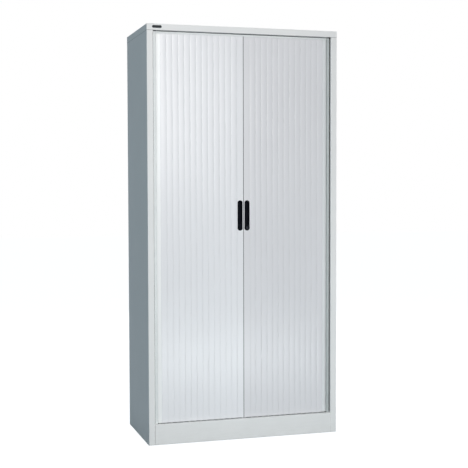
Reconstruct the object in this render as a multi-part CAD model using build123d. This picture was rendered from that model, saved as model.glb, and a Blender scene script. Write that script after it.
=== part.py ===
"""Roll front storage cupboard: folded steel carcass and two side-opening shutters of interlocking slats.

Frame: origin on the floor under the middle of the cupboard, +X to the right seen from the front,
+Y to the back, +Z up. All sizes in millimetres. Each piece on the right is mirrored for the left.
"""

from build123d import *
from math import asin, atan2, ceil, cos, degrees, dist, pi, radians, sin
import os

# Carcass
WIDTH = 950.0
DEPTH = 475.0
HEIGHT = 1980.0
SHEET = 1.0  # carcass sheet
BEND = 3.0  # outer radius of a fold
EDGE_BEND = 1.8  # outer radius of the tight folds at the cap's seam
FIT = 0.3  # clearance between pieces that slip past each other
CAP_HEIGHT = 30.0
CAP_LIP = 12.0
POST_WIDTH = 30.0  # front post beside the doors
POST_RETURN = 17.0  # depth of the door recess
JAMB_FLANGE = 16.5  # flange that hides the curtain's edge
BACK_RETURN = 15.0
TOP_FLANGE = 13.0
FLOOR_FLANGE = 20.0
PLINTH_HEIGHT = 98.0
PLINTH_LEG = 14.0  # fold behind the plinth's top
DECK_RISE = 14.0  # step between a pan's track flange and its deck
PAN_LEG = 13.0  # fixing fold along a pan's sides
DECK_FRONT = 42.5  # from the front face back to the decks
CAVITY = 44.0  # between side panel and liner
LINER_SETBACK = 2.0  # liner behind the deck's front edge
LINER_FLANGE = 13.0

# Curtain
SLAT_PITCH = 28.8
SLAT_SHEET = 0.8
SOCKET_RADIUS = 3.2  # middle to outer flat of the socket
HINGE_CLEARANCE = 0.3
CURL_SIDES = 8  # flats of the bead and of its socket
NECK_LENGTH = 4.2  # bead to the web that joins it to the face
SEAM_GAP = 0.8  # between the faces of two slats
CROWN = 0.45  # rise of a slat's face over its edges
MOUTH = (-30.0, 70.0)  # socket opening, degrees towards the back
CURTAIN_CLEARANCE = 1.3  # between jamb flange and curtain
UPPER_GAP = 6.0  # slat top below the cap
LOWER_GAP = 2.5  # slat bottom above the plinth
GUIDE_LENGTH = 8.0
GUIDE_THICKNESS = 3.8
GUIDE_PLUG = 14.0  # part of a guide held behind its slat's face
GUIDE_FLOAT = 0.3  # guide above the lower track
GUIDE_LIFT = 1.2  # guide below the upper track

# Tracks
TRACK_RADIUS = 50.0
TRACK_END = 165.0  # y where the side run ends
GROOVE = 5.4
TRACK_WALL = 1.2
TRACK_FLOOR = 1.5
TRACK_DROP = 0.5  # track rim short of the deck level

# Closing stiles
MEETING_GAP = 1.5
STILE_WIDTH = 29.3
STILE_DEPTH = 15.5
STILE_WALL = 1.0

# Handles
HANDLE_Z = 1082.8
HANDLE_LENGTH = 146.0
HANDLE_WIDTH = 25.0
HANDLE_PROUD = 2.2
CUP_WALL = 2.4  # bezel beyond the cup
CUP_DEPTH = 10.5
CUP_FLOOR = 1.5
RECESS_INSET = 4.0  # bezel face round the finger recess
RIDGE_WIDTH = 3.0
RIDGE_HEIGHT = 4.0
BOSS_RADIUS = 13.2
BOSS_PROUD = 1.2  # boss beyond the bezel
BEZEL_EDGE = 0.8

# Lock
BARREL_RADIUS = 7.0
BARREL_RUN = 0.05  # running clearance of the barrel in its boss
BARREL_PROUD = 1.0
KEYWAY = (1.4, 7.0, 5.0)  # width, height, depth
DRIVE = 6.0  # square that turns the hook
STUD_RADIUS = 2.5
HOOK_SHEET = 2.0
HOOK_STANDOFF = 2.0  # behind the stile
HOOK_ARM = 8.0
HOOK_FINGER = 4.0
HOOK_REACH = 26.0  # barrel axis to keeper pin
PIN_RADIUS = 2.5
PIN_SPARE = 1.0  # keeper pin beyond the hook
HOOK_CLEARANCE = 0.6
FINGER_LEAD = 8.0  # degrees the finger passes beyond the pin
LOCK_TURN = 90.0
NUT_FLATS = 10.0
NUT_HEIGHT = 3.0
STUD_SPARE = 1.0  # stud beyond its nut
KEEPER_WIDTH = 14.0
KEEPER_HEIGHT = 40.0
KEEPER_SHEET = 1.5

# Shelves
SHELF_SLOTS = (1, 3, 5, 7, 9)  # slot that each shelf hangs from
SHELF_SHEET = 0.9
SHELF_HEIGHT = 28.0
SHELF_LIP = 12.0
SHELF_GAP = 0.5
SHELF_FRONT_GAP = 4.0
SHELF_BACK_GAP = 3.5
UPRIGHT_WIDTH = 25.0
UPRIGHT_DEPTH = 10.0
UPRIGHT_SHEET = 1.2
UPRIGHT_Y = (-150.0, 190.0)
SLOT_WIDTH = 2.4
SLOT_HEIGHT = 12.0
SLOT_PITCH = 150.0
FIRST_SLOT = 150.0  # above the deck
CLIP_SHEET = 1.5
CLIP_WIDTH = 20.0
CLIP_LEDGE = 12.0
CLIP_DROP = 4.0  # ledge below the slot
CLIP_RISE = 12.0
TAB_HEIGHT = 7.0
TAB_HOOK = 2.0

# Places that follow from the sizes
SIDE = WIDTH / 2
FRONT = -DEPTH / 2
BACK = DEPTH / 2
SEAM_Z = HEIGHT - CAP_HEIGHT
POST_EDGE = SIDE - POST_WIDTH
JAMB_EDGE = POST_EDGE - JAMB_FLANGE
JAMB_BACK = FRONT + POST_RETURN + SHEET
BACK_FACE = BACK - 2 * SHEET  # inner face of the back panel
LINER_OUT = SIDE - SHEET - CAVITY
LINER_IN = LINER_OUT - SHEET
DECK_Y = FRONT + DECK_FRONT
LOWER_PLATE_Z = PLINTH_HEIGHT - DECK_RISE
UPPER_PLATE_Z = SEAM_Z + DECK_RISE
FACE_BACK = SOCKET_RADIUS + FIT  # from the curtain's path to the back of a slat's face
FACE_DEPTH = FACE_BACK + SLAT_SHEET + CROWN
CURTAIN_Y = JAMB_BACK + CURTAIN_CLEARANCE + FACE_DEPTH
SLAT_BOTTOM = PLINTH_HEIGHT + LOWER_GAP
SLAT_TOP = SEAM_Z - UPPER_GAP
GUIDE_BOTTOM = LOWER_PLATE_Z + TRACK_FLOOR + GUIDE_FLOAT
GUIDE_TOP = UPPER_PLATE_Z - TRACK_FLOOR - GUIDE_LIFT
BEAD_RADIUS = SOCKET_RADIUS - SLAT_SHEET - HINGE_CLEARANCE
STILE_IN = MEETING_GAP / 2
STILE_OUT = STILE_IN + STILE_WIDTH
STILE_FRONT = CURTAIN_Y - FACE_DEPTH
STILE_BACK = STILE_FRONT + STILE_DEPTH
FIRST_HINGE = STILE_OUT + SOCKET_RADIUS - STILE_WALL / 2
SIDE_RUN = (SIDE - SHEET + LINER_OUT) / 2
CORNER = (SIDE_RUN - TRACK_RADIUS, CURTAIN_Y + TRACK_RADIUS)
SLAT_COUNT = ceil((JAMB_EDGE - FIRST_HINGE) / SLAT_PITCH)  # the last one is the tail
HANDLE_X = STILE_OUT - HANDLE_WIDTH / 2
BOSS_Z = HANDLE_Z - HANDLE_LENGTH / 2 + BOSS_RADIUS
BARREL_END = STILE_BACK + HOOK_STANDOFF
HOOK_BACK = BARREL_END + HOOK_SHEET
PIN_END = HOOK_BACK + PIN_SPARE
UPRIGHT_FACE = LINER_IN - UPRIGHT_DEPTH
SHELF_SIDE = UPRIGHT_FACE - CLIP_SHEET - SHELF_GAP


def block(x0, x1, y0, y1, z0, z1):
    """Box between two corners."""
    return Pos(x0, y0, z0) * Box(x1 - x0, y1 - y0, z1 - z0, align=(Align.MIN,) * 3)


def folded(points, thickness, radius):
    """Section of a folded sheet: its outer skin follows the points, its material lies to their right."""
    skin = FilletPolyline(*points, radius=radius)
    return make_face(offset(skin, amount=thickness, side=Side.RIGHT, closed=True).edges())


def upright(face, z0, z1):
    """A plan section drawn up from z0 to z1."""
    return Pos(0, 0, z0) * extrude(face, amount=z1 - z0, dir=(0, 0, 1))


def slab(face, y0, y1):
    """A front view drawn back from y0 to y1."""
    plane = Plane(origin=(0, y0, 0), x_dir=(1, 0, 0), z_dir=(0, -1, 0))
    return extrude(plane * face, amount=y1 - y0, dir=(0, 1, 0))


def polygon(*points):
    return make_face(Polyline(*points, close=True).edges())


def wedge(start, end, reach, steps=4):
    """Sector between two directions in degrees."""
    angles = [start + (end - start) * step / steps for step in range(steps + 1)]
    rim = [(reach * cos(radians(a)), reach * sin(radians(a))) for a in angles]
    return polygon((0, 0), *rim)


# Carcass -------------------------------------------------------------------------------------


def side_panel():
    """Side skin, front post and jamb flange folded from one sheet, with flanges above and below."""
    skin = folded(
        [
            (SIDE - BACK_RETURN, BACK),
            (SIDE, BACK),
            (SIDE, FRONT),
            (POST_EDGE, FRONT),
            (POST_EDGE, FRONT + POST_RETURN),
            (JAMB_EDGE, FRONT + POST_RETURN),
        ],
        SHEET,
        BEND,
    )
    panel = upright(skin, 0, SEAM_Z)
    inner = SIDE - SHEET / 2
    front, back = FRONT + BEND, BACK - BEND
    panel += block(SIDE - SHEET - TOP_FLANGE, inner, front, back, SEAM_Z - SHEET, SEAM_Z)
    panel += block(POST_EDGE + BEND, inner, FRONT + SHEET / 2, FRONT + CAP_LIP, SEAM_Z - SHEET, SEAM_Z)
    panel += block(SIDE - SHEET - FLOOR_FLANGE, inner, front, back, 0, SHEET)
    return panel


def top_cap():
    """Shallow tray turned over, its rim folded in to a lip that rests on the sides."""
    outer = block(-SIDE, SIDE, FRONT, BACK, SEAM_Z, HEIGHT)
    outer = fillet(outer.edges() - outer.edges().filter_by(Axis.Z), EDGE_BEND)
    inner = block(
        -SIDE + SHEET, SIDE - SHEET, FRONT + SHEET, BACK - SHEET, SEAM_Z + SHEET, HEIGHT - SHEET
    )
    mouth = block(
        -SIDE + CAP_LIP, SIDE - CAP_LIP, FRONT + CAP_LIP, BACK - CAP_LIP, SEAM_Z - 1, SEAM_Z + BEND
    )
    return outer - inner - mouth


def pan(plate_z, deck_z, leg_z, deck_back):
    """Flange that carries the tracks, a stepped deck between them and fixing legs at the sides."""
    low, high = min(plate_z, deck_z), max(plate_z, deck_z)
    plate_low = plate_z - SHEET if deck_z > plate_z else plate_z
    half, front, back = SIDE - SHEET - FIT, JAMB_BACK + FIT, BACK_FACE
    body = block(-half, half, front, back, plate_low, plate_low + SHEET)
    for side in (-1, 1):
        edge, inside = side * half, side * (half - SHEET)
        body += block(min(edge, inside), max(edge, inside), front, back, *sorted((leg_z, plate_z)))
    if deck_z > plate_z:
        low -= SHEET
        hollow = (low - 1, high - SHEET)
    else:
        high += SHEET
        hollow = (low + SHEET, high + 1)
    inside = LINER_OUT - SHEET
    body += block(-LINER_OUT, LINER_OUT, DECK_Y, deck_back, low, high)
    return body - block(-inside, inside, DECK_Y + SHEET, deck_back - SHEET, *hollow)


def base_panel():
    return pan(LOWER_PLATE_Z, PLINTH_HEIGHT, LOWER_PLATE_Z - PAN_LEG, BACK_FACE)


def roof_panel():
    return pan(UPPER_PLATE_Z, SEAM_Z, SEAM_Z + SHEET + FIT, BACK - CAP_LIP - FIT)


def plinth():
    """Front plinth between the posts, folded back over its top and under its foot."""
    top_depth = POST_RETURN - FIT
    section = folded(
        [
            (FRONT + CAP_LIP, 0),
            (FRONT, 0),
            (FRONT, PLINTH_HEIGHT),
            (FRONT + top_depth, PLINTH_HEIGHT),
            (FRONT + top_depth, PLINTH_HEIGHT - PLINTH_LEG),
        ],
        SHEET,
        BEND,
    )
    half = POST_EDGE - FIT
    body = Pos(-half, 0, 0) * extrude(Plane.YZ * section, amount=2 * half, dir=(1, 0, 0))
    relief, rear = half - BEND, FRONT + POST_RETURN - BEND - FIT
    for left, right in ((-half, -relief), (relief, half)):
        body -= block(left, right, rear, FRONT + POST_RETURN, 0, PLINTH_HEIGHT + 1)
    return body


def back_panel():
    half = SIDE - BEND - FIT
    return block(-half, half, BACK_FACE, BACK - SHEET, SHEET, SEAM_Z - SHEET)


def liner():
    """Wall between the shelves and the space that takes the open curtain."""
    inner = LINER_OUT - LINER_FLANGE
    front = DECK_Y + LINER_SETBACK
    section = folded(
        [(inner, BACK_FACE), (LINER_OUT, BACK_FACE), (LINER_OUT, front), (inner, front)],
        SHEET,
        BEND,
    )
    return upright(section, PLINTH_HEIGHT, SEAM_Z)


# Tracks --------------------------------------------------------------------------------------


def run(half_width):
    """Plan of the curtain's path at a given half width: along the front, round, along the side."""
    cx, cy = CORNER
    front = Pos((FIT / 2 + cx) / 2, CURTAIN_Y) * Rectangle(cx - FIT / 2, 2 * half_width)
    ring = Circle(TRACK_RADIUS + half_width) - Circle(TRACK_RADIUS - half_width)
    quarter = TRACK_RADIUS + half_width
    corner = ring & (Pos(quarter / 2, -quarter / 2) * Rectangle(quarter, quarter))
    side = Pos(SIDE_RUN, (cy + TRACK_END) / 2) * Rectangle(2 * half_width, TRACK_END - cy)
    return front + Pos(cx, cy) * corner + side


def track(plate_z, rim_z):
    """Channel on a pan's flange with its groove towards the curtain."""
    floor_z = plate_z + TRACK_FLOOR if rim_z > plate_z else plate_z - TRACK_FLOOR
    floor = upright(run(GROOVE / 2 + TRACK_WALL), *sorted((plate_z, floor_z)))
    walls = run(GROOVE / 2 + TRACK_WALL) - run(GROOVE / 2)
    return floor + upright(walls, *sorted((floor_z, rim_z)))


# Curtain -------------------------------------------------------------------------------------


def socket(x):
    """Curled edge that holds the next slat's bead."""
    turn = 180 / CURL_SIDES
    curl = RegularPolygon(SOCKET_RADIUS, CURL_SIDES, major_radius=False, rotation=turn)
    inside = SOCKET_RADIUS - SLAT_SHEET
    curl -= RegularPolygon(inside, CURL_SIDES, major_radius=False, rotation=turn)
    return Pos(x, 0) * (curl - wedge(*MOUTH, 2 * SOCKET_RADIUS))


def slat_face():
    """Plan of a slat's face: flat behind, crowned in front."""
    edge = (SLAT_PITCH - SEAM_GAP) / 2
    back, front = -FACE_BACK, -FACE_BACK - SLAT_SHEET
    crown = ThreePointArc((-edge, front), (0, front - CROWN), (edge, front))
    return make_face([crown, Polyline((edge, front), (edge, back), (-edge, back), (-edge, front))])


def slat_section(with_socket):
    """Plan of a slat about its middle: face, bead on a neck, then a socket or a plain hem."""
    hinge, half = SLAT_PITCH / 2, SLAT_SHEET / 2
    web = NECK_LENGTH - hinge
    section = slat_face() + Pos(-hinge, 0) * RegularPolygon(BEAD_RADIUS, CURL_SIDES)
    section += Pos((web - hinge) / 2, 0) * Rectangle(NECK_LENGTH, SLAT_SHEET)
    section += Pos(web, (half - FACE_BACK) / 2) * Rectangle(SLAT_SHEET, FACE_BACK + half)
    if with_socket:
        section += Pos(hinge - SOCKET_RADIUS + half, -FACE_BACK / 2) * Rectangle(SLAT_SHEET, FACE_BACK)
        return section + socket(hinge)
    edge = hinge - SEAM_GAP / 2
    return section + Pos(edge - SLAT_SHEET, -FACE_BACK) * Rectangle(2 * SLAT_SHEET, 2 * SLAT_SHEET)


def guides(middle):
    """Plastic tongues pushed into both ends of a slat, which run in the two tracks."""
    half = GUIDE_THICKNESS / 2
    sides = (middle - GUIDE_LENGTH / 2, middle + GUIDE_LENGTH / 2)
    spans = (GUIDE_BOTTOM, SLAT_BOTTOM + GUIDE_PLUG), (SLAT_TOP - GUIDE_PLUG, GUIDE_TOP)
    return [block(*sides, -half, half, *span) for span in spans]


def path_point(along):
    """Point on the curtain's path at a length from the cupboard's middle: front, corner, side."""
    cx, cy = CORNER
    angle = (along - cx) / TRACK_RADIUS
    if angle <= 0:
        return along, CURTAIN_Y
    if angle < pi / 2:
        return cx + TRACK_RADIUS * sin(angle), cy - TRACK_RADIUS * cos(angle)
    return SIDE_RUN, cy + (angle - pi / 2) * TRACK_RADIUS


def slat_places():
    """Middle and turn of every slat in the closed door; each middle lies on the path."""
    hinge, along, places = (FIRST_HINGE, CURTAIN_Y), FIRST_HINGE, []
    for _ in range(SLAT_COUNT):
        near, far = along, along + SLAT_PITCH
        while far - near > 1e-6:
            middle = (near + far) / 2
            if dist(path_point(middle), hinge) < SLAT_PITCH / 2:
                near = middle
            else:
                far = middle
        x, y = path_point(near)
        places.append((x, y, degrees(atan2(y - hinge[1], x - hinge[0]))))
        hinge, along = (2 * x - hinge[0], 2 * y - hinge[1]), near
    return places


def slat(x, y, turn, with_socket):
    """One slat of the right door with its two guides beside the web."""
    beside = NECK_LENGTH - SLAT_PITCH / 2 + SLAT_SHEET / 2 + FIT + GUIDE_LENGTH / 2
    pieces = [upright(slat_section(with_socket), SLAT_BOTTOM, SLAT_TOP), *guides(beside)]
    place = Pos(x, y) * Rot(0, 0, turn)
    return Compound(children=[place * piece for piece in pieces])


def stile():
    """Closing stile: a box section with the first socket behind the edge of its front skin."""
    depth_middle = STILE_FRONT + STILE_DEPTH / 2
    tube = Pos((STILE_IN + STILE_OUT) / 2, depth_middle) * Rectangle(STILE_WIDTH, STILE_DEPTH)
    wall = 2 * STILE_WALL
    tube -= Pos((STILE_IN + STILE_OUT) / 2, depth_middle) * Rectangle(
        STILE_WIDTH - wall, STILE_DEPTH - wall
    )
    inner, edge = STILE_OUT - STILE_WALL / 2, FIRST_HINGE - SEAM_GAP / 2
    skin = polygon(
        (inner, STILE_FRONT),
        (edge, STILE_FRONT),
        (edge, STILE_FRONT + SLAT_SHEET),
        (inner, STILE_FRONT + SLAT_SHEET),
    )
    section = tube + skin + Pos(0, CURTAIN_Y) * socket(FIRST_HINGE)
    body = upright(section, SLAT_BOTTOM, SLAT_TOP)
    cut = slab(cup_outline(CUP_WALL - FIT), STILE_FRONT - 1, STILE_FRONT + 2 * STILE_WALL)
    return body - cut


def stile_guides():
    """Guides near the meeting edge, so that they stay on the straight when the door is open."""
    middle = STILE_IN + STILE_WALL + FIT + GUIDE_LENGTH / 2
    return [Pos(0, CURTAIN_Y) * guide for guide in guides(middle)]


# Handles -------------------------------------------------------------------------------------


def cup_outline(margin):
    """Front view of the cup: a long slot shape inside the bezel by a margin."""
    slot = SlotOverall(HANDLE_LENGTH - 2 * margin, HANDLE_WIDTH - 2 * margin, rotation=90)
    return Pos(HANDLE_X, HANDLE_Z) * slot


def handle():
    """Flush pull: bezel that swells round the boss of the lock, cup, finger recess with a grip ridge."""
    face = STILE_FRONT - HANDLE_PROUD
    bezel = slab(cup_outline(0) + Pos(HANDLE_X, BOSS_Z) * Circle(BOSS_RADIUS), face, STILE_FRONT)
    bezel = chamfer(bezel.faces().sort_by(Axis.Y)[0].edges(), BEZEL_EDGE)
    body = bezel + slab(cup_outline(CUP_WALL), STILE_FRONT, STILE_FRONT + CUP_DEPTH)
    foot = BOSS_Z + BOSS_RADIUS + CUP_WALL
    head = HANDLE_Z + HANDLE_LENGTH / 2 - RECESS_INSET
    recess = Pos(HANDLE_X, (foot + head) / 2) * SlotOverall(
        head - foot, HANDLE_WIDTH - 2 * RECESS_INSET, rotation=90
    )
    floor_y = STILE_FRONT + CUP_DEPTH - CUP_FLOOR
    body -= slab(recess, face - 1, floor_y)
    inset = HANDLE_WIDTH / 2
    body += block(
        HANDLE_X - RIDGE_WIDTH / 2,
        HANDLE_X + RIDGE_WIDTH / 2,
        floor_y - RIDGE_HEIGHT,
        floor_y + CUP_FLOOR / 2,
        foot + inset,
        head - inset,
    )
    return body + slab(Pos(HANDLE_X, BOSS_Z) * Circle(BOSS_RADIUS - CUP_WALL), face - BOSS_PROUD, face + 1)


# Lock ----------------------------------------------------------------------------------------


def boss_disc(radius, y0, y1):
    """Cylinder on the barrel's axis."""
    return slab(Pos(HANDLE_X, BOSS_Z) * Circle(radius), y0, y1)


def boss_square(size, y0, y1):
    return slab(Pos(HANDLE_X, BOSS_Z) * Rectangle(size, size), y0, y1)


def lock_barrel():
    """Key barrel with its square drive and threaded stud at the back."""
    front = STILE_FRONT - HANDLE_PROUD - BOSS_PROUD - BARREL_PROUD
    barrel = boss_disc(BARREL_RADIUS, front, BARREL_END)
    width, height, depth = KEYWAY
    barrel -= slab(Pos(HANDLE_X, BOSS_Z) * Rectangle(width, height), front - 1, front + depth)
    barrel += boss_square(DRIVE, BARREL_END, HOOK_BACK)
    return barrel + boss_disc(STUD_RADIUS, HOOK_BACK, HOOK_BACK + NUT_HEIGHT + STUD_SPARE)


def lock_hook():
    """Hook that swings up round the keeper's pin; drawn where it hangs unlocked."""
    inner = HOOK_REACH + PIN_RADIUS + HOOK_CLEARANCE
    outer = inner + HOOK_FINGER
    offset_angle = degrees(asin((HOOK_ARM / 2 + PIN_RADIUS + HOOK_CLEARANCE) / HOOK_REACH))
    rest = 180 + offset_angle + LOCK_TURN
    finger = Circle(outer) - Circle(inner)
    finger &= wedge(rest - offset_angle - FINGER_LEAD, rest, 2 * outer)
    middle = (inner + outer) / 2
    arm = Rot(0, 0, rest) * (Pos(middle / 2, 0) * Rectangle(middle, HOOK_ARM))
    plate = finger + arm + Circle(BARREL_RADIUS)
    plate += Pos(middle * cos(radians(rest)), middle * sin(radians(rest))) * Circle(HOOK_ARM / 2)
    plate -= Rectangle(DRIVE + 2 * BARREL_RUN, DRIVE + 2 * BARREL_RUN)
    return slab(Pos(HANDLE_X, BOSS_Z) * plate, BARREL_END, HOOK_BACK)


def lock_nut():
    nut = RegularPolygon(NUT_FLATS / 2, 6, major_radius=False) - Circle(STUD_RADIUS + BARREL_RUN)
    return slab(Pos(HANDLE_X, BOSS_Z) * nut, HOOK_BACK, HOOK_BACK + NUT_HEIGHT)


def lock_keeper():
    """Plate and pin on the back of the left stile that the hook closes round."""
    x = HANDLE_X - HOOK_REACH
    outline = Pos(x, BOSS_Z) * Rectangle(KEEPER_WIDTH, KEEPER_HEIGHT)
    plate = slab(outline, STILE_BACK, STILE_BACK + KEEPER_SHEET)
    return plate + slab(Pos(x, BOSS_Z) * Circle(PIN_RADIUS), STILE_BACK, PIN_END)


# Shelves -------------------------------------------------------------------------------------


def slot_z(number):
    """Foot of a slot in the uprights."""
    return PLINTH_HEIGHT + FIRST_SLOT + SLOT_PITCH * number


def slotted_uprights():
    """Channels on a liner, front and back, with one row of slots each."""
    count = int((SEAM_Z - PLINTH_HEIGHT - 2 * FIRST_SLOT) // SLOT_PITCH) + 1
    pair = []
    for y in UPRIGHT_Y:
        middle = LINER_IN - UPRIGHT_DEPTH / 2
        section = Pos(middle, y) * Rectangle(UPRIGHT_DEPTH, UPRIGHT_WIDTH)
        section -= Pos(middle + UPRIGHT_SHEET, y) * Rectangle(
            UPRIGHT_DEPTH, UPRIGHT_WIDTH - 2 * UPRIGHT_SHEET
        )
        slots = [
            block(
                UPRIGHT_FACE - 1,
                UPRIGHT_FACE + 2 * UPRIGHT_SHEET,
                y - SLOT_WIDTH / 2,
                y + SLOT_WIDTH / 2,
                slot_z(number),
                slot_z(number) + SLOT_HEIGHT,
            )
            for number in range(count)
        ]
        pair.append(upright(section, PLINTH_HEIGHT, SEAM_Z) - slots)
    return Compound(children=pair)


def shelf_clip(y, number):
    """Ledge hooked into a slot by a tab."""
    foot = slot_z(number)
    low, high = y - CLIP_WIDTH / 2, y + CLIP_WIDTH / 2
    face = UPRIGHT_FACE - CLIP_SHEET
    ledge_z = foot - CLIP_DROP
    clip = block(face, UPRIGHT_FACE, low, high, ledge_z - CLIP_SHEET, foot + CLIP_RISE)
    clip += block(face - CLIP_LEDGE, UPRIGHT_FACE, low, high, ledge_z - CLIP_SHEET, ledge_z)
    tab = (SLOT_WIDTH - FIT) / 2
    behind = UPRIGHT_FACE + UPRIGHT_SHEET + FIT
    clip += block(face, behind + TAB_HOOK, y - tab, y + tab, foot, foot + TAB_HEIGHT)
    return clip + block(behind, behind + TAB_HOOK, y - tab, y + tab, foot - TAB_HOOK, foot + 1)


def shelf_clips():
    clips = [shelf_clip(y, number) for y in UPRIGHT_Y for number in SHELF_SLOTS]
    return Compound(children=clips + [mirror(clip, about=Plane.YZ) for clip in clips])


def shelf(number):
    """Shelf with its four edges folded down and in; it stands on the clips' ledges."""
    low = slot_z(number) - CLIP_DROP
    high = low + SHELF_HEIGHT
    front, back = DECK_Y + LINER_SETBACK + SHELF_FRONT_GAP, BACK_FACE - SHELF_BACK_GAP
    body = block(-SHELF_SIDE, SHELF_SIDE, front, back, low, high)
    body = fillet(body.edges().filter_by(Axis.X).group_by(Axis.Z)[-1], EDGE_BEND)
    hollow = block(
        -SHELF_SIDE + SHELF_SHEET,
        SHELF_SIDE - SHELF_SHEET,
        front + SHELF_SHEET,
        back - SHELF_SHEET,
        low + SHELF_SHEET,
        high - SHELF_SHEET,
    )
    mouth = block(
        -SHELF_SIDE + SHELF_LIP,
        SHELF_SIDE - SHELF_LIP,
        front + SHELF_LIP,
        back - SHELF_LIP,
        low - 1,
        low + SHELF_HEIGHT / 2,
    )
    return body - hollow - mouth


# Pieces --------------------------------------------------------------------------------------


def both_sides(name, shape):
    """The right piece and its mirror image for the left."""
    return {f"right_{name}": shape, f"left_{name}": mirror(shape, about=Plane.YZ)}


def door_pieces():
    pieces = {}
    closing = stile()
    pull = handle()
    bore = boss_disc(BARREL_RADIUS + BARREL_RUN, STILE_FRONT - STILE_DEPTH, STILE_BACK - STILE_WALL)
    passage = boss_disc(BARREL_RADIUS + FIT, STILE_BACK - 2 * STILE_WALL, STILE_BACK + 1)
    pieces["right_stile"] = Compound(children=[closing - passage, *stile_guides()])
    pieces["left_stile"] = mirror(Compound(children=[closing, *stile_guides()]), about=Plane.YZ)
    pieces["right_handle"] = pull - bore
    pieces["left_handle"] = mirror(pull, about=Plane.YZ)
    for number, place in enumerate(slat_places(), start=1):
        shape = slat(*place, with_socket=number < SLAT_COUNT)
        pieces.update(both_sides(f"slat_{number:02d}", shape))
    return pieces


def all_pieces():
    pieces = {
        "top_cap": top_cap(),
        "roof_panel": roof_panel(),
        "base_panel": base_panel(),
        "back_panel": back_panel(),
        "plinth": plinth(),
        "shelf_clips": shelf_clips(),
        "lock_barrel": lock_barrel(),
        "lock_hook": lock_hook(),
        "lock_nut": lock_nut(),
        "lock_keeper": lock_keeper(),
    }
    pieces.update(both_sides("side_panel", side_panel()))
    pieces.update(both_sides("liner", liner()))
    pieces.update(both_sides("lower_track", track(LOWER_PLATE_Z, PLINTH_HEIGHT - TRACK_DROP)))
    pieces.update(both_sides("upper_track", track(UPPER_PLATE_Z, SEAM_Z + TRACK_DROP)))
    pieces.update(both_sides("uprights", slotted_uprights()))
    for order, number in enumerate(SHELF_SLOTS, start=1):
        pieces[f"shelf_{order}"] = shelf(number)
    pieces.update(door_pieces())
    return pieces


os.makedirs("parts", exist_ok=True)
for node, shape in all_pieces().items():
    export_step(shape, f"parts/{node}.step")
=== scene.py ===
"""Roll front storage cupboard: smooth slats, trim, finishes, camera and studio round the frame."""

from math import atan2, cos, dist, pi, radians, sin

import bmesh
import bpy
from mathutils import Matrix, Vector


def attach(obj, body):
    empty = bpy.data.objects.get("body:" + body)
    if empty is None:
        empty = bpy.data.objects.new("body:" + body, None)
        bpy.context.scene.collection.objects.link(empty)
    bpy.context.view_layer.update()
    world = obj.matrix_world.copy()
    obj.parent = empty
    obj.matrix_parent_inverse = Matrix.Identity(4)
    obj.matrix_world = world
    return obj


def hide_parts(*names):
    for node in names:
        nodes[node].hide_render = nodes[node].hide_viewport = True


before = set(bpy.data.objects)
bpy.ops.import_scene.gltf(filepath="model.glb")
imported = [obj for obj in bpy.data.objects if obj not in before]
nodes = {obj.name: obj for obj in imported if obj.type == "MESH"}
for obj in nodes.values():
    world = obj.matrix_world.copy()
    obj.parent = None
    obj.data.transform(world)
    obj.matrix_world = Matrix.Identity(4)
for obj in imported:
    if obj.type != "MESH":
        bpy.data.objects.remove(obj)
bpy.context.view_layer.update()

MM = 0.001
BOTH = ("left", "right")

# Sizes of the curtain, in millimetres
SLAT_PITCH = 28.8
SLAT_COUNT = 14
SLAT_BOTTOM, SLAT_TOP = 100.5, 1944.0
SHEET = 0.8
SEAM_GAP = 0.8  # between the faces of neighbouring slats
CROWN = 0.45  # rise of a slat's face over its edges
FACE_COLUMNS = 10
EDGE_ROUND, EDGE_STEPS = 0.35, 3
HEM_ROUND = 0.2  # the tail slat has a hem in place of a socket
BEAD_RADIUS, BEAD_SIDES = 2.1, 16
NECK_LENGTH = 4.2
SOCKET_RADIUS, SOCKET_STEPS = 3.2, 18
MOUTH_START, MOUTH_END = -30.0, 70.0  # the socket's opening, in degrees
FIT = 0.3
FACE_BACK = SOCKET_RADIUS + FIT  # from the curtain's path to the back of a slat's face
GUIDE_BOTTOM, GUIDE_TOP = 85.8, 1961.3
GUIDE_LENGTH, GUIDE_THICKNESS, GUIDE_ROUND = 8.0, 3.8, 0.5
GUIDE_PLUG = 14.0  # how far a guide reaches into its slat

# The curtain's path: straight along the front, then round the corner
FIRST_HINGE = 32.75
CURTAIN_Y = -213.45
CORNER_X, TRACK_RADIUS = 402.0, 50.0
PATH_TOLERANCE = 1e-5

# Sizes of the carcass round the doors
FRONT, BACK = -237.5, 237.5
SEAM_Z, PLINTH_TOP = 1950.0, 98.0
POST_EDGE, JAMB_EDGE = 445.0, 428.5
JAMB_FRONT, JAMB_BACK = -220.5, -219.5
CURTAIN_FRONT = -218.2
MEETING_EDGE = 0.75
SHELF_COUNT = 5

# Trim
STRIP = 0.6  # sheet of the edge strips
STRIP_ROUND = STRIP / 4
STRIP_END = 0.4
STRIP_HOLD = 5.0  # how far a jamb strip's rear leg reaches over the flange
TOP_STRIP = 11.0
CAP_REACH = 9.0  # how far the top strip's upper leg reaches under the cap
JAMB_SEAL, TOP_SHADE_SEAL, SEAL_SIDES = 3.6, 2.4, 20
LIP = 0.55  # how far the meeting seal's lip laps over each stile's edge
MEETING_END = 1.0  # how much sooner than the slats the meeting seal ends
MEETING_BARS = (  # from x to x, from y to y behind the curtain's front, rounding
    (-MEETING_EDGE - 0.2, MEETING_EDGE - 0.15, 0.2, 6, 0.2),  # core between the stiles
    (-MEETING_EDGE - LIP, MEETING_EDGE + LIP - 0.1, -0.4, -0.08, 0.1),  # lip over their edges
    (-MEETING_EDGE + 0.2, MEETING_EDGE - 0.4, -0.3, 1, 0),  # web from the core to the lip
)
RIVET_RADIUS, RIVET_HEIGHT, RIVET_SINK = 3.0, 0.8, 1.0
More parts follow.
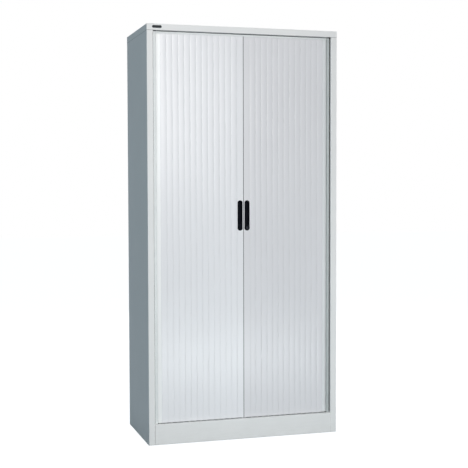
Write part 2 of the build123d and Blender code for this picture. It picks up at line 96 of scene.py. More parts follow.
RIVET_ROWS, ROW_MARGIN, SIDE_RIVETS_X = 8, 40.0, 462.0
RIVET_COLUMNS, COLUMN_STEP, END_MARGIN = 6, 152.0, 12.0

# Bare oval plate on the cap's front, drawn by the cap's finish
PLATE_X, PLATE_Z, PLATE_LENGTH, PLATE_HEIGHT = -426.0, 1966.5, 47.0, 14.0
PLATE_RIM, PLATE_ROUND, PLATE_RELIEF = 0.9, 0.7, 0.5
PLATE_ZONE = 1.0  # how far behind the front a face can still show the plate
PLATE_COLOUR, PLATE_RIM_COLOUR = (0.022, 0.026, 0.030), (0.45, 0.47, 0.49)
PLATE_ROUGHNESS = -0.08  # on top of the coat's

# Dark line where the cap sits down on the sides
SEAM_HALF_WIDTH, SEAM_SHADE, SEAM_COLOUR = 0.9, 0.65, (0.16, 0.17, 0.18)

# Noises of the finishes, each as cells per metre and detail
TONE_NOISE, FLAKE_NOISE, PEEL_NOISE, SHEEN_NOISE = (3.5, 3), (2600, 1), (900, 2), (14, 4)
DUST_NOISE, SCUFF_NOISE, GRAIN_NOISE = (26, 5), (60, 3), (1200, 2)
NOISE_LOW, NOISE_HIGH = 0.3, 0.7  # noise mostly lies between these
SCUFF_STRETCH = (0.25, 0.25, 3.0)
TONE_DETAIL, SHEEN_DETAIL = 3, 2  # in plain finishes, which have their own cells of tone
SHEEN_RATIO = 2.3  # and this many times as many cells of roughness

# Coats and their wear
FLAKE_COLOUR, COAT_ROUGHNESS = (0.45, 0.46, 0.48), (0.275, 0.295)
DUST_COLOUR, DUST_ROUGHNESS = (0.50, 0.49, 0.46), 0.5
DUST_HEIGHT = 110.0  # dust and scuffs from the floor thin out up to here
DUST_SPREAD, SCUFF_SPREAD, SCUFF_SHARE = (0.2, 1), (-0.6, 1), 0.08
LEVEL_NORMAL, LEVEL_DUST = 0.9, 0.35  # faces that look up more than this, and their dust

# Every piece
SMOOTH_LIMIT = radians(32)  # edges sharper than this stay sharp
BAR_STEPS = 2  # segments of a bar's rounded edges


# Finishes ------------------------------------------------------------------------------------


def shader_group(name, inputs, outputs):
    """An empty node group, with what comes in and what goes out."""
    tree = bpy.data.node_groups.new(name, "ShaderNodeTree")
    for sockets, way in (inputs, "INPUT"), (outputs, "OUTPUT"):
        for label, kind in sockets.items():
            tree.interface.new_socket(label, in_out=way, socket_type=f"NodeSocket{kind}")
    start, end = tree.nodes.new("NodeGroupInput"), tree.nodes.new("NodeGroupOutput")
    return tree, start.outputs, end.inputs


def feed(tree, socket, value):
    """Gives an input a number, a colour or what another socket carries."""
    if isinstance(value, (int, float)):
        socket.default_value = value
    elif isinstance(value, tuple):
        socket.default_value = (*value, 1)
    else:
        tree.links.new(value, socket)


def calculate(tree, operation, *values):
    """One Math node; each value is a number or a socket."""
    node = tree.nodes.new("ShaderNodeMath")
    node.operation = operation
    for socket, value in zip(node.inputs, values):
        feed(tree, socket, value)
    return node.outputs["Value"]


def blend_colours(tree, share, first, second):
    """Mixes two colours by a share; each is a socket or a colour."""
    mix = tree.nodes.new("ShaderNodeMix")
    mix.data_type = "RGBA"
    for label, value in ("Factor", share), ("A", first), ("B", second):
        feed(tree, mix.inputs[label], value)
    return mix.outputs["Result"]


def axis_values(tree, vector):
    """Sockets X, Y and Z of a vector."""
    apart = tree.nodes.new("ShaderNodeSeparateXYZ")
    tree.links.new(vector, apart.inputs["Vector"])
    return apart.outputs


def map_range(tree, value, start, end, low=0, high=1):
    """Takes start..end to low..high, and stays within them."""
    scale = tree.nodes.new("ShaderNodeMapRange")
    for label, limit in ("From Min", start), ("From Max", end), ("To Min", low), ("To Max", high):
        scale.inputs[label].default_value = limit
    tree.links.new(value, scale.inputs["Value"])
    return scale.outputs["Result"]


def noise(tree, place, cells, detail, stretch=None):
    """Noise in cells per metre, finer along the axes with a larger stretch."""
    if stretch:
        mapping = tree.nodes.new("ShaderNodeMapping")
        mapping.inputs["Scale"].default_value = stretch
        tree.links.new(place, mapping.inputs["Vector"])
        place = mapping.outputs["Vector"]
    cloud = tree.nodes.new("ShaderNodeTexNoise")
    cloud.inputs["Scale"].default_value = cells
    cloud.inputs["Detail"].default_value = detail
    tree.links.new(place, cloud.inputs["Vector"])
    return cloud.outputs["Fac"]


def spread(tree, value, low, high):
    """Spreads noise over a range."""
    return map_range(tree, value, NOISE_LOW, NOISE_HIGH, low, high)


def make_coat_grain():
    """Sprayed silver coat: orange peel, fine flakes, slow changes of tone and of roughness."""
    tree, given, result = shader_group(
        "coat_grain", {"Place": "Vector", "Light": "Color", "Deep": "Color", "Flakes": "Float"},
        {"Colour": "Color", "Height": "Float", "Rough": "Float"},
    )
    place = given["Place"]
    tone = spread(tree, noise(tree, place, *TONE_NOISE), 0, 1)
    colour = blend_colours(tree, tone, given["Light"], given["Deep"])
    flakes = spread(tree, noise(tree, place, *FLAKE_NOISE), 0, 1)
    share = calculate(tree, "MULTIPLY", flakes, given["Flakes"])
    tree.links.new(blend_colours(tree, share, colour, FLAKE_COLOUR), result["Colour"])
    tree.links.new(noise(tree, place, *PEEL_NOISE), result["Height"])
    sheen = spread(tree, noise(tree, place, *SHEEN_NOISE), *COAT_ROUGHNESS)
    tree.links.new(sheen, result["Rough"])
    return tree


def make_floor_wear():
    """Dust and scuffs that thin out upwards from the floor, and dust on level faces."""
    tree, given, result = shader_group(
        "floor_wear", {"Place": "Vector", "Colour": "Color", "Rough": "Float", "Amount": "Float"},
        {"Colour": "Color", "Rough": "Float"},
    )
    place = given["Place"]
    low = map_range(tree, axis_values(tree, place)["Z"], DUST_HEIGHT * MM, 0)
    normal = tree.nodes.new("ShaderNodeNewGeometry").outputs["Normal"]
    upward = calculate(tree, "GREATER_THAN", axis_values(tree, normal)["Z"], LEVEL_NORMAL)
    where = calculate(tree, "MAXIMUM", low, calculate(tree, "MULTIPLY", upward, LEVEL_DUST))
    cloud = spread(tree, noise(tree, place, *DUST_NOISE), *DUST_SPREAD)
    scuffs = spread(tree, noise(tree, place, *SCUFF_NOISE, SCUFF_STRETCH), *SCUFF_SPREAD)
    marks = calculate(tree, "MAXIMUM", calculate(tree, "MULTIPLY", scuffs, low), 0)
    patches = calculate(tree, "MULTIPLY", where, cloud)
    film = calculate(tree, "MULTIPLY", patches, given["Amount"])
    worn = calculate(tree, "MULTIPLY_ADD", marks, SCUFF_SHARE, film)
    share = calculate(tree, "MINIMUM", worn, 1)
    tree.links.new(blend_colours(tree, share, given["Colour"], DUST_COLOUR), result["Colour"])
    rough = calculate(tree, "MULTIPLY_ADD", share, DUST_ROUGHNESS, given["Rough"])
    tree.links.new(rough, result["Rough"])
    return tree


def make_joint_shade():
    """Thin dark line where the cap sits down on the sides."""
    tree, given, result = shader_group(
        "joint_shade", {"Place": "Vector", "Colour": "Color"}, {"Colour": "Color"},
    )
    height = axis_values(tree, given["Place"])["Z"]
    away = calculate(tree, "ABSOLUTE", calculate(tree, "SUBTRACT", height, SEAM_Z * MM))
    line = calculate(tree, "LESS_THAN", away, SEAM_HALF_WIDTH * MM)
    share = calculate(tree, "MULTIPLY", line, SEAM_SHADE)
    tree.links.new(blend_colours(tree, share, given["Colour"], SEAM_COLOUR), result["Colour"])
    return tree


def make_oval_plate():
    """Bare oval plate: 1 inside it, 1 on its rim, and a height that rounds its edge."""
    tree, given, result = shader_group(
        "oval_plate", {"Place": "Vector"}, {"Plate": "Float", "Rim": "Float", "Height": "Float"},
    )
    place = axis_values(tree, given["Place"])
    end_radius = PLATE_HEIGHT / 2
    across = calculate(tree, "ABSOLUTE", calculate(tree, "SUBTRACT", place["X"], PLATE_X * MM))
    straight = (PLATE_LENGTH / 2 - end_radius) * MM
    past = calculate(tree, "MAXIMUM", calculate(tree, "SUBTRACT", across, straight), 0)
    rise = calculate(tree, "SUBTRACT", place["Z"], PLATE_Z * MM)
    squares = [calculate(tree, "MULTIPLY", length, length) for length in (past, rise)]
    reach = calculate(tree, "SQRT", calculate(tree, "ADD", *squares))
    inside = calculate(tree, "SUBTRACT", end_radius * MM, reach)
    front = calculate(tree, "LESS_THAN", place["Y"], (FRONT + PLATE_ZONE) * MM)
    plate = calculate(tree, "MULTIPLY", calculate(tree, "GREATER_THAN", inside, 0), front)
    border = calculate(tree, "LESS_THAN", inside, PLATE_RIM * MM)
    rounded = map_range(tree, inside, 0, PLATE_ROUND * MM)
    tree.links.new(plate, result["Plate"])
    tree.links.new(calculate(tree, "MULTIPLY", plate, border), result["Rim"])
    tree.links.new(calculate(tree, "MULTIPLY", rounded, front), result["Height"])
    return tree


COAT_GRAIN = make_coat_grain()
FLOOR_WEAR = make_floor_wear()
JOINT_SHADE = make_joint_shade()
OVAL_PLATE = make_oval_plate()


def new_finish(name):
    """A material with its node tree, its shader and the place of each point in metres."""
    finish = bpy.data.materials.new(name)
    finish.use_nodes = True
    tree = finish.node_tree
    place = tree.nodes.new("ShaderNodeTexCoord").outputs["Object"]
    return finish, tree, tree.nodes["Principled BSDF"], place


def add_bump(tree, shader, height, depth):
    """Depth in millimetres."""
    bump = tree.nodes.new("ShaderNodeBump")
    bump.inputs["Strength"].default_value = 1
    bump.inputs["Distance"].default_value = depth * MM
    tree.links.new(height, bump.inputs["Height"])
    tree.links.new(bump.outputs["Normal"], shader.inputs["Normal"])


def place_group(tree, group, place, **values):
    """A node group in a material; each value is a number, a colour or a socket."""
    node = tree.nodes.new("ShaderNodeGroup")
    node.node_tree = group
    tree.links.new(place, node.inputs["Place"])
    for label, value in values.items():
        feed(tree, node.inputs[label], value)
    return node.outputs


def coated_steel(name, light, deep, flakes, peel, dust, shine=0.5, matt=0, with_plate=False):
    """Sprayed coat between two tones; peel in millimetres, matt on top of its roughness."""
    finish, tree, shader, place = new_finish(name)
    grain = place_group(tree, COAT_GRAIN, place, Light=light, Deep=deep, Flakes=flakes)
    worn = place_group(
        tree, FLOOR_WEAR, place, Colour=grain["Colour"], Rough=grain["Rough"], Amount=dust,
    )
    colour = place_group(tree, JOINT_SHADE, place, Colour=worn["Colour"])["Colour"]
    rough = calculate(tree, "ADD", worn["Rough"], matt)
    if with_plate:
        plate = place_group(tree, OVAL_PLATE, place)
        colour = blend_colours(tree, plate["Plate"], colour, PLATE_COLOUR)
        colour = blend_colours(tree, plate["Rim"], colour, PLATE_RIM_COLOUR)
        rough = calculate(tree, "MULTIPLY_ADD", plate["Plate"], PLATE_ROUGHNESS, rough)
        add_bump(tree, shader, plate["Height"], PLATE_RELIEF)
    else:
        add_bump(tree, shader, grain["Height"], peel)
    tree.links.new(colour, shader.inputs["Base Color"])
    tree.links.new(rough, shader.inputs["Roughness"])
    shader.inputs["Specular IOR Level"].default_value = shine
    return finish


def noisy_finish(name, light, deep, cells, rough, metal=0.0, depth=0.01, shine=0.5):
    """Colour that wanders between two tones, roughness within a range, and a fine grain."""
    finish, tree, shader, place = new_finish(name)
    tone = spread(tree, noise(tree, place, cells, TONE_DETAIL), 0, 1)
    tree.links.new(blend_colours(tree, tone, light, deep), shader.inputs["Base Color"])
    sheen = spread(tree, noise(tree, place, cells * SHEEN_RATIO, SHEEN_DETAIL), *rough)
    tree.links.new(sheen, shader.inputs["Roughness"])
    shader.inputs["Metallic"].default_value = metal
    shader.inputs["Specular IOR Level"].default_value = shine
    add_bump(tree, shader, noise(tree, place, *GRAIN_NOISE), depth)
    return finish


PANEL_COAT = {
    "light": (0.86, 0.85, 0.84), "deep": (0.825, 0.818, 0.81),
    "flakes": 0.06, "peel": 0.02, "dust": 0.10, "shine": 0.12, "matt": 0.25,
}
PAINT = coated_steel("silver_grey_coat", **PANEL_COAT)
CAP_PAINT = coated_steel("silver_grey_cap_coat", **PANEL_COAT, with_plate=True)
SLAT_COAT = {"flakes": 0.10, "peel": 0.01, "dust": 0.08}
# One slat coat in two copies: the right door's slats and stile are painted darker, painted shade
# for the light that falls off across the doors
SLAT_PAINT_AND_SHADE = {
    "left": coated_steel(
        "pale_silver_slat_coat", (0.82, 0.815, 0.835), (0.80, 0.795, 0.815), **SLAT_COAT,
    ),
    "right": coated_steel(
        "pale_silver_slat_coat_painted_shade", (0.735, 0.725, 0.745), (0.715, 0.705, 0.725), **SLAT_COAT,
    ),
}
TAIL_COAT = {"flakes": 0.04, "peel": 0.01, "dust": 0.08}
# Tail slats wear a lighter coat than the rest; beyond that the left one is painted lighter, a
# painted highlight, and the right one darker, painted shade
TAIL_PAINT_AND_LIGHT = {
    "left": coated_steel(
        "tail_slat_coat_with_painted_light", (0.95, 0.955, 0.95), (0.92, 0.925, 0.92), **TAIL_COAT,
    ),
    "right": coated_steel(
        "tail_slat_coat_with_painted_shade", (0.80, 0.81, 0.82), (0.78, 0.79, 0.80), **TAIL_COAT,
    ),
}
BLACK_PLASTIC = noisy_finish(
    "black_moulded_plastic", (0.002, 0.003, 0.006), (0.001, 0.002, 0.004),
    cells=60, rough=(0.42, 0.54), depth=0.03, shine=0.04,
)
SEAL_RUBBER = noisy_finish(
    "black_seal_rubber", (0.020, 0.022, 0.024), (0.012, 0.013, 0.015),
    cells=120, rough=(0.60, 0.75), shine=0.2,
)
STRIP_SURFACE = {"cells": 40, "rough": (0.62, 0.74), "shine": 0.25}
# One strip in two copies: the right one is painted much darker, painted shade in the recess beside
# the right post
STRIP_PLASTIC_AND_SHADE = {
    "left": noisy_finish(
        "matt_grey_jamb_strip", (0.80, 0.82, 0.815), (0.76, 0.78, 0.78), **STRIP_SURFACE,
    ),
    "right": noisy_finish(
        "matt_grey_jamb_strip_painted_shade", (0.50, 0.53, 0.53), (0.46, 0.49, 0.49), **STRIP_SURFACE,
    ),
}
RIVET_STEEL = noisy_finish(
    "coated_rivet", (0.74, 0.75, 0.745), (0.68, 0.69, 0.69), cells=90, rough=(0.32, 0.42),
)
ZINC = noisy_finish(
    "zinc_plate", (0.66, 0.67, 0.69), (0.50, 0.51, 0.54), cells=160, rough=(0.28, 0.42), metal=1.0,
)
BLACK_CHROME = noisy_finish(
    "black_chrome", (0.026, 0.028, 0.034), (0.018, 0.020, 0.024),
    cells=30, rough=(0.26, 0.34), metal=1.0,
)
GUIDE_PLASTIC = noisy_finish(
    "milk_white_guide_plastic", (0.70, 0.70, 0.66), (0.62, 0.62, 0.59),
    cells=90, rough=(0.40, 0.52),
)
TRACK_PLASTIC = noisy_finish(
    "grey_track_plastic", (0.30, 0.31, 0.32), (0.25, 0.26, 0.27), cells=70, rough=(0.42, 0.55),
)


def wears(finish, *names):
    """Gives CAD nodes their finish."""
    for name in names:
        nodes[name].data.materials.clear()
        nodes[name].data.materials.append(finish)


wears(CAP_PAINT, "top_cap")
wears(PAINT, "roof_panel", "base_panel", "back_panel", "plinth")
wears(PAINT, *[f"shelf_{number + 1}" for number in range(SHELF_COUNT)])
for side in BOTH:
    wears(PAINT, f"{side}_side_panel", f"{side}_liner", f"{side}_uprights")
    wears(SLAT_PAINT_AND_SHADE[side], f"{side}_stile")
    wears(BLACK_PLASTIC, f"{side}_handle")
    wears(TRACK_PLASTIC, f"{side}_lower_track", f"{side}_upper_track")
wears(ZINC, "shelf_clips", "lock_hook", "lock_nut", "lock_keeper")
wears(BLACK_CHROME, "lock_barrel")


# Pieces --------------------------------------------------------------------------------------


def finished_piece(name, mesh, body, slot, *finishes):
    """Turns a bmesh drawn in millimetres into a piece that rides on a body."""
    bmesh.ops.scale(mesh, vec=Vector((MM,) * 3), verts=mesh.verts)
    bmesh.ops.recalc_face_normals(mesh, faces=mesh.faces)
    for face in mesh.faces:
        face.smooth = True
    for edge in mesh.edges:
        if len(edge.link_faces) == 2:
            edge.smooth = edge.calc_face_angle() < SMOOTH_LIMIT
    data = bpy.data.meshes.new(name)
    mesh.to_mesh(data)
    mesh.free()
    piece = bpy.data.objects.new(name, data)
    bpy.context.scene.collection.objects.link(piece)
    for finish in finishes:
        data.materials.append(finish)
    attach(piece, body)
    return piece


def mirrored_for(side, mesh):
    """Turns a mesh drawn for the right side into one for either side."""
    if side == "left":
        bmesh.ops.scale(mesh, vec=(-1, 1, 1), verts=mesh.verts)
    return mesh


def round_edges(mesh, edges, radius, steps):
    """Bevels edges by a radius, in a number of segments."""
    bmesh.ops.bevel(
        mesh, geom=edges, offset=radius, offset_type="OFFSET", segments=steps, profile=0.5,
        affect="EDGES", material=-1,
    )


def bar(mesh, x0, x1, y0, y1, z0, z1, rounding):
    """A straight bar, its edges rounded by a radius or left sharp with 0."""
    made = bmesh.ops.create_cube(mesh, size=1)
    middle = ((x0 + x1) / 2, (y0 + y1) / 2, (z0 + z1) / 2)
    bmesh.ops.scale(mesh, vec=(x1 - x0, y1 - y0, z1 - z0), verts=made["verts"])
    bmesh.ops.translate(mesh, vec=middle, verts=made["verts"])
    if rounding:
        edges = list({edge for vert in made["verts"] for edge in vert.link_edges})
        round_edges(mesh, edges, rounding, BAR_STEPS)


# Slats ---------------------------------------------------------------------------------------


def spin_arc(mesh, start, centre, turn, steps):
    """Draws an arc from a vertex round a centre, by an angle in degrees."""
    bmesh.ops.spin(
        mesh, geom=[start], cent=(*centre, 0), axis=(0, 0, 1), dvec=(0, 0, 0),
        angle=radians(turn), steps=steps, use_merge=False, use_duplicate=False,
    )


def raise_sheet(mesh, edges, z0, z1, thickness):
    """Draws a plan line up into a sheet and gives it its thickness."""
    made = bmesh.ops.extrude_edge_only(mesh, edges=edges)
    top = [item for item in made["geom"] if isinstance(item, bmesh.types.BMVert)]
    bottom = list({vert for edge in edges for vert in edge.verts})
    bmesh.ops.translate(mesh, verts=bottom, vec=(0, 0, z0))
    bmesh.ops.translate(mesh, verts=top, vec=(0, 0, z1))
    faces = [item for item in made["geom"] if isinstance(item, bmesh.types.BMFace)]
    bmesh.ops.solidify(mesh, geom=faces, thickness=thickness)


def crowned_face(mesh):
    """Face of a slat: a long strip, arched in front, with its four long corners rounded."""
    half, depth = (SLAT_PITCH - SEAM_GAP) / 2, FACE_BACK + SHEET / 2
    made = bmesh.ops.create_cube(mesh, size=1)
    bmesh.ops.scale(mesh, vec=(2 * half, SHEET, SLAT_TOP - SLAT_BOTTOM), verts=made["verts"])
    bmesh.ops.translate(mesh, vec=(0, -depth, (SLAT_TOP + SLAT_BOTTOM) / 2), verts=made["verts"])
    across = [e for e in mesh.edges if abs(e.verts[0].co.x - e.verts[1].co.x) > half]
    bmesh.ops.subdivide_edges(mesh, edges=across, cuts=FACE_COLUMNS - 1, use_grid_fill=True)
    for vert in mesh.verts:
        if vert.co.y < -depth:
            vert.co.y -= CROWN * (1 - (vert.co.x / half) ** 2)
    corners = [
        edge for edge in mesh.edges
        if all(abs(vert.co.x) > half - SHEET / 4 for vert in edge.verts)
        and abs(edge.verts[0].co.z - edge.verts[1].co.z) > half
    ]
    round_edges(mesh, corners, EDGE_ROUND, EDGE_STEPS)


def slat_mesh(with_socket):
    """Plan about the slat's middle: crowned face, bead on its neck, web and socket or hem."""
    hinge, half = SLAT_PITCH / 2, SHEET / 2
    web = NECK_LENGTH - hinge
    span = (SLAT_BOTTOM, SLAT_TOP)
    mesh = bmesh.new()
    crowned_face(mesh)
    before = set(mesh.faces)
    made = bmesh.ops.create_circle(mesh, cap_ends=True, segments=BEAD_SIDES, radius=BEAD_RADIUS)
    bmesh.ops.translate(mesh, verts=made["verts"], vec=(-hinge, 0, SLAT_BOTTOM))
    caps = [face for face in mesh.faces if face not in before]
    made = bmesh.ops.extrude_face_region(mesh, geom=caps, use_keep_orig=True)
    rims = [item for item in made["geom"] if isinstance(item, bmesh.types.BMVert)]
    bmesh.ops.translate(mesh, verts=rims, vec=(0, 0, SLAT_TOP - SLAT_BOTTOM))
    bar(mesh, -hinge, web + half, -half, half, *span, 0)
    bar(mesh, web - half, web + half, -FACE_BACK - half, half, *span, 0)
    if with_socket:
        wall = hinge - SOCKET_RADIUS
        bar(mesh, wall, wall + SHEET, -FACE_BACK - half, 0, *span, 0)
        before = set(mesh.edges)
        mouth = radians(MOUTH_START)
        start = mesh.verts.new((
            hinge + SOCKET_RADIUS * cos(mouth), SOCKET_RADIUS * sin(mouth), 0,
        ))
        spin_arc(mesh, start, (hinge, 0), -(360 - MOUTH_END + MOUTH_START), SOCKET_STEPS)
        raise_sheet(mesh, [e for e in mesh.edges if e not in before], *span, SHEET)
    else:
        edge = hinge - SEAM_GAP / 2
        bar(mesh, edge - 2 * SHEET, edge, -FACE_BACK - half, -FACE_BACK + SHEET, *span, HEM_ROUND)
    coated = set(mesh.faces)
    beside = web + half + FIT
    thick = GUIDE_THICKNESS / 2
    for z0, z1 in (GUIDE_BOTTOM, SLAT_BOTTOM + GUIDE_PLUG), (SLAT_TOP - GUIDE_PLUG, GUIDE_TOP):
        bar(mesh, beside, beside + GUIDE_LENGTH, -thick, thick, z0, z1, GUIDE_ROUND)
    for face in mesh.faces:
        face.material_index = 0 if face in coated else 1
    return mesh


def path_point(along):
    """Point of the curtain's path at a length from the cupboard's middle."""
    angle = max(0.0, (along - CORNER_X) / TRACK_RADIUS)
    if angle == 0:
        return along, CURTAIN_Y
    return CORNER_X + TRACK_RADIUS * sin(angle), CURTAIN_Y + TRACK_RADIUS * (1 - cos(angle))


def slat_places():
    """Middle and turn of each slat, hinge by hinge, with every middle on the path."""
    hinge, along, places = (FIRST_HINGE, CURTAIN_Y), FIRST_HINGE, []
    for _ in range(SLAT_COUNT):
        near, far = along, along + SLAT_PITCH
        while far - near > PATH_TOLERANCE:
            middle = (near + far) / 2
            if dist(path_point(middle), hinge) < SLAT_PITCH / 2:
                near = middle
            else:
                far = middle
        x, y = path_point(near)
        places.append((x, y, atan2(y - hinge[1], x - hinge[0])))
        hinge, along = (2 * x - hinge[0], 2 * y - hinge[1]), near
    return places


for number, (x, y, turn) in enumerate(slat_places(), start=1):
    place = Matrix.Translation((x, y, 0)) @ Matrix.Rotation(turn, 4, "Z")
    for side in BOTH:
        mesh = slat_mesh(with_socket=number < SLAT_COUNT)
        bmesh.ops.transform(mesh, verts=mesh.verts, matrix=place)
        mesh = mirrored_for(side, mesh)
        node = f"{side}_slat_{number:02d}"
        coat = (SLAT_PAINT_AND_SHADE if number < SLAT_COUNT else TAIL_PAINT_AND_LIGHT)[side]
        piece = finished_piece(f"{node}_smooth", mesh, node, "slat", coat, GUIDE_PLASTIC)
        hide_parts(node)


# Strips, seals and rivets --------------------------------------------------------------------


def jamb_strip():
    """Edge strip clipped round the jamb flange."""
    mesh = bmesh.new()
    span = (PLINTH_TOP + STRIP_END, SEAM_Z - STRIP_END)
    edge, face, rear = JAMB_EDGE - STRIP, JAMB_FRONT - STRIP, JAMB_BACK + STRIP
    bar(mesh, edge, POST_EDGE - JAMB_SEAL, face, JAMB_FRONT, *span, STRIP_ROUND)
    bar(mesh, edge, JAMB_EDGE, face, rear, *span, STRIP_ROUND)
    bar(mesh, edge, JAMB_EDGE + STRIP_HOLD, JAMB_BACK, rear, *span, STRIP_ROUND)
    return mesh


def round_bead(mesh, diameter, length):
    """A rubber bead along +Z from the origin, its ends closed."""
    radius = diameter / 2
    made = bmesh.ops.create_cone(
        mesh, cap_ends=True, segments=SEAL_SIDES, radius1=radius, radius2=radius, depth=length,
    )
    bmesh.ops.translate(mesh, verts=made["verts"], vec=(0, 0, length / 2))


def jamb_seal():
    """Bead in the corner between the post and the jamb strip."""
    mesh = bmesh.new()
    round_bead(mesh, JAMB_SEAL, SEAM_Z - PLINTH_TOP - 2 * STRIP_END)
    corner = (POST_EDGE - JAMB_SEAL / 2, JAMB_FRONT - JAMB_SEAL / 2, PLINTH_TOP + STRIP_END)
    bmesh.ops.translate(mesh, verts=mesh.verts, vec=corner)
    return mesh


def top_strip():
    """Edge strip under the cap: one leg down, one forwards."""
    mesh = bmesh.new()
    reach = JAMB_EDGE - STRIP
    for depth, height in (STRIP, TOP_STRIP), (CAP_REACH, STRIP):
        front, low = JAMB_FRONT - depth, SEAM_Z - height
        bar(mesh, -reach, reach, front, JAMB_FRONT, low, SEAM_Z, STRIP_ROUND)
    return mesh


def top_shade_seal():
    """Black bead in the corner between the two legs of the top strip, put there as painted shade
    for the shadow under the cap.
    """
    mesh = bmesh.new()
    reach, away = POST_EDGE - JAMB_SEAL, STRIP + TOP_SHADE_SEAL / 2
    round_bead(mesh, TOP_SHADE_SEAL, 2 * reach)
    bmesh.ops.rotate(mesh, verts=mesh.verts, matrix=Matrix.Rotation(pi / 2, 3, "Y"))
    bmesh.ops.translate(mesh, verts=mesh.verts, vec=(-reach, JAMB_FRONT - away, SEAM_Z - away))
    return mesh


def meeting_seal():
    """Seal between the closing stiles where the doors meet."""
    mesh = bmesh.new()
    span = (SLAT_BOTTOM + MEETING_END, SLAT_TOP - MEETING_END)
    for x0, x1, near, far, rounding in MEETING_BARS:
        bar(mesh, x0, x1, CURTAIN_FRONT + near, CURTAIN_FRONT + far, *span, rounding)
    return mesh


def back_rivets():
    """Low domed heads on the back panel: a row near each side, and one near each end."""
    step = (SEAM_Z - PLINTH_TOP - 2 * ROW_MARGIN) / (RIVET_ROWS - 1)
    rows = [PLINTH_TOP + ROW_MARGIN + step * row for row in range(RIVET_ROWS)]
    columns = [COLUMN_STEP * (column - (RIVET_COLUMNS - 1) / 2) for column in range(RIVET_COLUMNS)]
    places = [(x, z) for x in (-SIDE_RIVETS_X, SIDE_RIVETS_X) for z in rows]
    places += [(x, z) for x in columns for z in (END_MARGIN, SEAM_Z - END_MARGIN)]
    mesh = bmesh.new()
    for x, z in places:
        made = bmesh.ops.create_uvsphere(mesh, u_segments=16, v_segments=8, radius=RIVET_RADIUS)
        bmesh.ops.scale(mesh, verts=made["verts"], vec=(1, RIVET_HEIGHT / RIVET_RADIUS, 1))
        bmesh.ops.translate(mesh, verts=made["verts"], vec=(x, BACK - RIVET_SINK, z))
    return mesh


for side in BOTH:
    strip, seal = mirrored_for(side, jamb_strip()), mirrored_for(side, jamb_seal())
    finished_piece(f"{side}_jamb_strip", strip, "carcass", "paint", STRIP_PLASTIC_AND_SHADE[side])
    finished_piece(f"{side}_jamb_seal", seal, "carcass", "handle", SEAL_RUBBER)
finished_piece("top_strip", top_strip(), "carcass", "paint", STRIP_PLASTIC_AND_SHADE["left"])
# Black bead under the cap: painted shade along the cap's shadowed underside
finished_piece("top_shade_seal", top_shade_seal(), "carcass", "handle", SEAL_RUBBER)
finished_piece("meeting_seal", meeting_seal(), "left_lead", "handle", SEAL_RUBBER)
finished_piece("back_rivets", back_rivets(), "carcass", "paint", RIVET_STEEL)


# Studio, in metres and watts -----------------------------------------------------------------

WHITE = (1.0, 1.0, 1.0)
WORLD_COLOUR, WORLD_LEVEL = (0.68, 0.90, 1.0), 0.20  # as light; it looks white to the camera
FLOOR_REACH, FLOOR_COLOUR, FLOOR_ROUGHNESS, FLOOR_GLOW = 20.0, (0.16, 0.20, 0.23), 0.9, 0.97
LAMPS = (  # name, place, target, width, height, power, colour
    ("key", (0.40, -4.8, 1.8), (0, 0, 1.2), 1.2, 1.2, 40, (1.0, 0.98, 0.965)),
    ("left_key", (-1.1, -4.8, 1.8), (0, 0, 1.2), 1.0, 1.0, 38, (0.98, 0.99, 1.0)),
    ("high_left_fill", (-0.5, -2.5, 2.4), (-0.35, 0, 1.6), 0.8, 0.8, 19, (1.0, 0.975, 0.955)),
    ("floor_fill", (0.2, -2.0, 0.10), (0, 0, 0.15), 1.6, 0.2, 9.4, (0.95, 1.0, 1.0)),
    ("left_fill", (-4.5, -0.4, 2.3), (-0.4, 0, 1.6), 1.0, 1.0, 15, (0.50, 0.80, 1.0)),
    ("right_side_fill", (4.5, 0.6, 1.7), (0.4, 0, 1.0), 1.8, 1.8, 60, WHITE),
    ("back_fill", (0.4, 4.8, 1.8), (0, 0, 1.0), 1.8, 1.8, 85, WHITE),
    ("top_fill", (0.9, 0.9, 4.4), (0.1, 0.1, 2.0), 1.4, 1.4, 38, WHITE),
)
CAMERA_TURN, CAMERA_DIP, CAMERA_ROLL = radians(16.815), radians(2.643), radians(-0.145)
CAMERA_PLACE = Vector((-1.492018, -4.995865, 1.224351))
CAMERA_REACH = 100
FOCAL_PIXELS, IMAGE_WIDTH, SENSOR = 1037.796, 468, 36.0


def seen_directly(tree):
    """1 for camera, glossy and transmission rays."""
    path = tree.nodes.new("ShaderNodeLightPath").outputs
    seen = calculate(tree, "MAXIMUM", path["Is Camera Ray"], path["Is Glossy Ray"])
    return calculate(tree, "MAXIMUM", seen, path["Is Transmission Ray"])


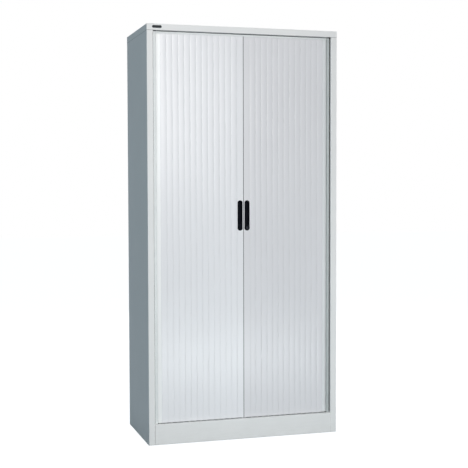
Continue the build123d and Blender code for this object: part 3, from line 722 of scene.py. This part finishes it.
world = bpy.data.worlds.new("studio")
world.use_nodes = True
bpy.context.scene.world = world
tree = world.node_tree
both = tree.nodes.new("ShaderNodeMixShader")
tree.links.new(seen_directly(tree), both.inputs["Fac"])
dim, bright = tree.nodes["Background"], tree.nodes.new("ShaderNodeBackground")
for entry, node, colour, level in (1, dim, WORLD_COLOUR, WORLD_LEVEL), (2, bright, WHITE, 1):
    node.inputs["Color"].default_value = (*colour, 1)
    node.inputs["Strength"].default_value = level
    tree.links.new(node.outputs[0], both.inputs[entry])
tree.links.new(both.outputs[0], tree.nodes["World Output"].inputs["Surface"])

mesh = bmesh.new()
bmesh.ops.create_grid(mesh, x_segments=1, y_segments=1, size=FLOOR_REACH)
floor_data = bpy.data.meshes.new("floor")
mesh.to_mesh(floor_data)
mesh.free()
floor = bpy.data.objects.new("floor", floor_data)
bpy.context.scene.collection.objects.link(floor)
floor_finish, tree, shader, _ = new_finish("pale_floor")
for label, value in (
    ("Base Color", FLOOR_COLOUR), ("Roughness", FLOOR_ROUGHNESS), ("Specular IOR Level", 0.0),
    ("Emission Color", WHITE),
    ("Emission Strength", calculate(tree, "MULTIPLY", seen_directly(tree), FLOOR_GLOW)),
):
    feed(tree, shader.inputs[label], value)
floor_data.materials.append(floor_finish)

for name, place, target, width, height, power, colour in LAMPS:
    light = bpy.data.lights.new(name, "AREA")
    light.shape = "RECTANGLE"
    light.size, light.size_y = width, height
    light.energy = power
    light.color = colour
    lamp = bpy.data.objects.new(name, light)
    lamp.location = place
    aim = Vector(target) - Vector(place)
    lamp.rotation_euler = aim.to_track_quat("-Z", "Y").to_euler()
    lamp.visible_camera = False
    bpy.context.scene.collection.objects.link(lamp)

ahead = cos(CAMERA_DIP)
forward = Vector((sin(CAMERA_TURN) * ahead, cos(CAMERA_TURN) * ahead, -sin(CAMERA_DIP)))
level = Vector((cos(CAMERA_TURN), -sin(CAMERA_TURN), 0))
above = level.cross(forward)
right = level * cos(CAMERA_ROLL) + above * sin(CAMERA_ROLL)
up = above * cos(CAMERA_ROLL) - level * sin(CAMERA_ROLL)
axes = Matrix((right, up, -forward)).transposed().to_4x4()
lens = bpy.data.cameras.new("camera")
lens.sensor_width = SENSOR
lens.lens = FOCAL_PIXELS / IMAGE_WIDTH * SENSOR
lens.clip_end = CAMERA_REACH
camera = bpy.data.objects.new("camera", lens)
camera.matrix_world = Matrix.Translation(CAMERA_PLACE) @ axes
bpy.context.scene.collection.objects.link(camera)
bpy.context.scene.camera = camera
bpy.context.scene.view_settings.view_transform = "Standard"
